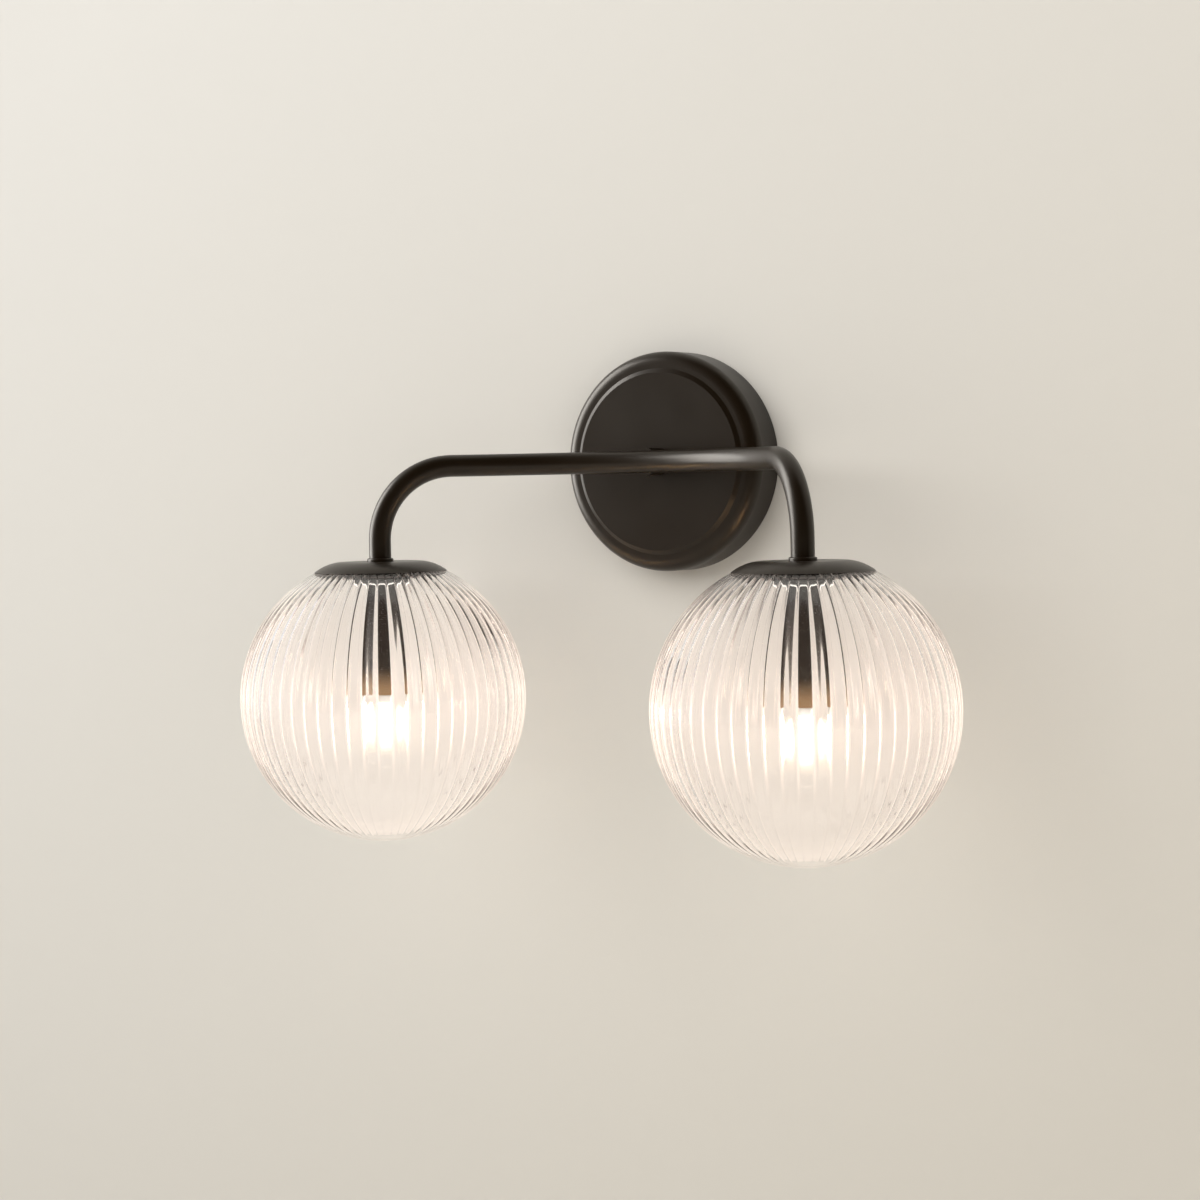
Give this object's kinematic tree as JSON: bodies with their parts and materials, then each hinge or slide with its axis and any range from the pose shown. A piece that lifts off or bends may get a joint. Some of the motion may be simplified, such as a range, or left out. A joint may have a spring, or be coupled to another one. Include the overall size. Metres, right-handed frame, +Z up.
{
  "type": "double arm wall sconce",
  "caption": "Wall sconce with a round stepped canopy, a bowed tube arm turned down at both ends and ribbed glass globes that unscrew from shallow caps.",
  "frame": {"origin": "centre of the canopy on the wall, midway between the bracket's slots", "axes": "+X to the viewer's right along the wall, +Y into the wall, +Z up"},
  "size_m": [0.411, 0.1858, 0.263],
  "materials": {
    "satin_black_steel": "satin black powder coat",
    "gloss_black_ring": "gloss black lacquer",
    "zinc_steel": "zinc plated",
    "black_screws": "black oxide",
    "green_screw": "green passivated",
    "brass_nipple": "plain turned brass",
    "earth_insulation": "green and yellow sheath",
    "black_insulation": "silicone sheath",
    "white_insulation": "silicone sheath",
    "connector_plastic": "moulded",
    "holder_ceramic": "unglazed",
    "bulb_base_plastic": "moulded white",
    "bulb_board_white": "white solder mask",
    "frosted_envelope": "frosted, lit warm white",
    "clear_silicone": "soft silicone",
    "ribbed_glass": "clear pressed glass with fine upright ribs"
  },
  "bodies": {
    "root": {"canopy_shell": "satin_black_steel", "wall_bracket": "zinc_steel", "canopy_side_screws": "black_screws", "earth_screw": "green_screw", "stem_tube": "satin_black_steel", "stem_nipple": "brass_nipple", "stem_washer": "zinc_steel", "stem_nut": "zinc_steel", "nipple_earth_tag": "zinc_steel", "bracket_earth_tag": "zinc_steel", "earth_lead": "earth_insulation", "live_wire_connector": "connector_plastic", "neutral_wire_connector": "connector_plastic", "arm_tube": "satin_black_steel", "left_collar": "satin_black_steel", "left_shade_cap": "satin_black_steel", "left_shade_hub": "satin_black_steel", "left_cap_nipple": "brass_nipple", "left_cap_nut": "zinc_steel", "left_holder_strap": "zinc_steel", "left_strap_screws": "zinc_steel", "left_socket_cover": "satin_black_steel", "left_lampholder": "holder_ceramic", "left_holder_contacts": "zinc_steel", "left_live_lead": "black_insulation", "left_neutral_lead": "white_insulation", "right_collar": "satin_black_steel", "right_shade_cap": "satin_black_steel", "right_shade_hub": "satin_black_steel", "right_cap_nipple": "brass_nipple", "right_cap_nut": "zinc_steel", "right_holder_strap": "zinc_steel", "right_strap_screws": "zinc_steel", "right_socket_cover": "satin_black_steel", "right_lampholder": "holder_ceramic", "right_holder_contacts": "zinc_steel", "right_live_lead": "black_insulation", "right_neutral_lead": "white_insulation"},
    "left_shade_carrier": {"left_shade_washer": "clear_silicone"},
    "left_shade": {"left_shade_ring": "gloss_black_ring", "left_glass_globe": "ribbed_glass"},
    "left_bulb": {"left_bulb_base": "bulb_base_plastic", "left_bulb_board": "bulb_board_white", "left_bulb_pins": "zinc_steel", "left_bulb_envelope": "frosted_envelope"},
    "right_shade_carrier": {"right_shade_washer": "clear_silicone"},
    "right_shade": {"right_shade_ring": "gloss_black_ring", "right_glass_globe": "ribbed_glass"},
    "right_bulb": {"right_bulb_base": "bulb_base_plastic", "right_bulb_board": "bulb_board_white", "right_bulb_pins": "zinc_steel", "right_bulb_envelope": "frosted_envelope"}
  },
  "joints": [
    {"name": "left_shade_travel", "type": "slide", "parent": "root", "child": "left_shade_carrier", "axis": [0, 0, -1], "range_m": [0, 0.009]},
    {"name": "left_shade_turn", "type": "hinge", "parent": "left_shade_carrier", "child": "left_shade", "pos_m": [-0.128, -0.10828, -0.0575], "axis": [0, 0, -1], "range_deg": [0, 1080]},
    {"name": "left_bulb_pull", "type": "slide", "parent": "root", "child": "left_bulb", "axis": [0, 0, -1], "range_m": [0, 0.007]},
    {"name": "right_shade_travel", "type": "slide", "parent": "root", "child": "right_shade_carrier", "axis": [0, 0, -1], "range_m": [0, 0.009]},
    {"name": "right_shade_turn", "type": "hinge", "parent": "right_shade_carrier", "child": "right_shade", "pos_m": [0.128, -0.10828, -0.0575], "axis": [0, 0, -1], "range_deg": [0, 1080]},
    {"name": "right_bulb_pull", "type": "slide", "parent": "root", "child": "right_bulb", "axis": [0, 0, -1], "range_m": [0, 0.007]}
  ],
  "couplings": [
    {"joint": "left_shade_travel", "follows": "left_shade_turn", "m_per_rad": 0.000477},
    {"joint": "right_shade_travel", "follows": "right_shade_turn", "m_per_rad": 0.000477}
  ]
}
